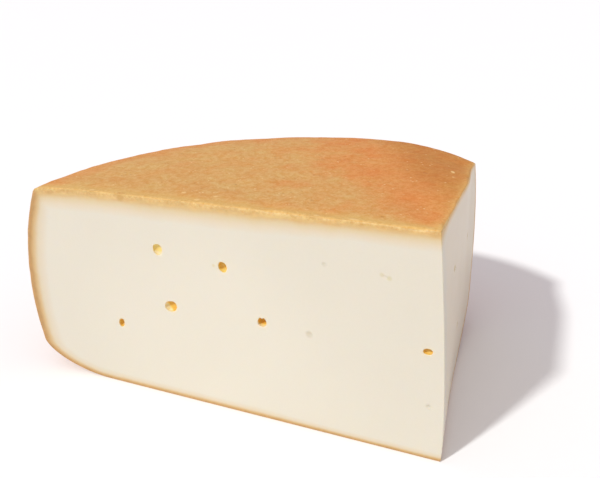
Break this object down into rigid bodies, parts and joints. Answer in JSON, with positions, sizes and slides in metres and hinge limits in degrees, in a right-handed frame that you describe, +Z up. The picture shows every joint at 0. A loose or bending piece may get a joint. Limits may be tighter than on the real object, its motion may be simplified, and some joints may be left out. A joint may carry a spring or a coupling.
{
  "type": "goat cheese half wheel",
  "caption": "Half wheel of pale goat alpine cheese with a tan rind, a flat front cut, a cut-off end and small gas holes, lying on its base.",
  "frame": {"origin": "middle of the bounding box in plan, on the base that the piece rests on", "axes": "+X along the front cut towards the cut-off end, +Y from the front cut towards the rim, +Z up"},
  "size_m": [0.209, 0.1378, 0.1002],
  "materials": {
    "rind": "dry, finely grained tan rind, with a smooth pale ivory paste on the cut faces"
  },
  "bodies": {
    "root": {"cheese_half_wheel": "rind"}
  },
  "joints": []
}
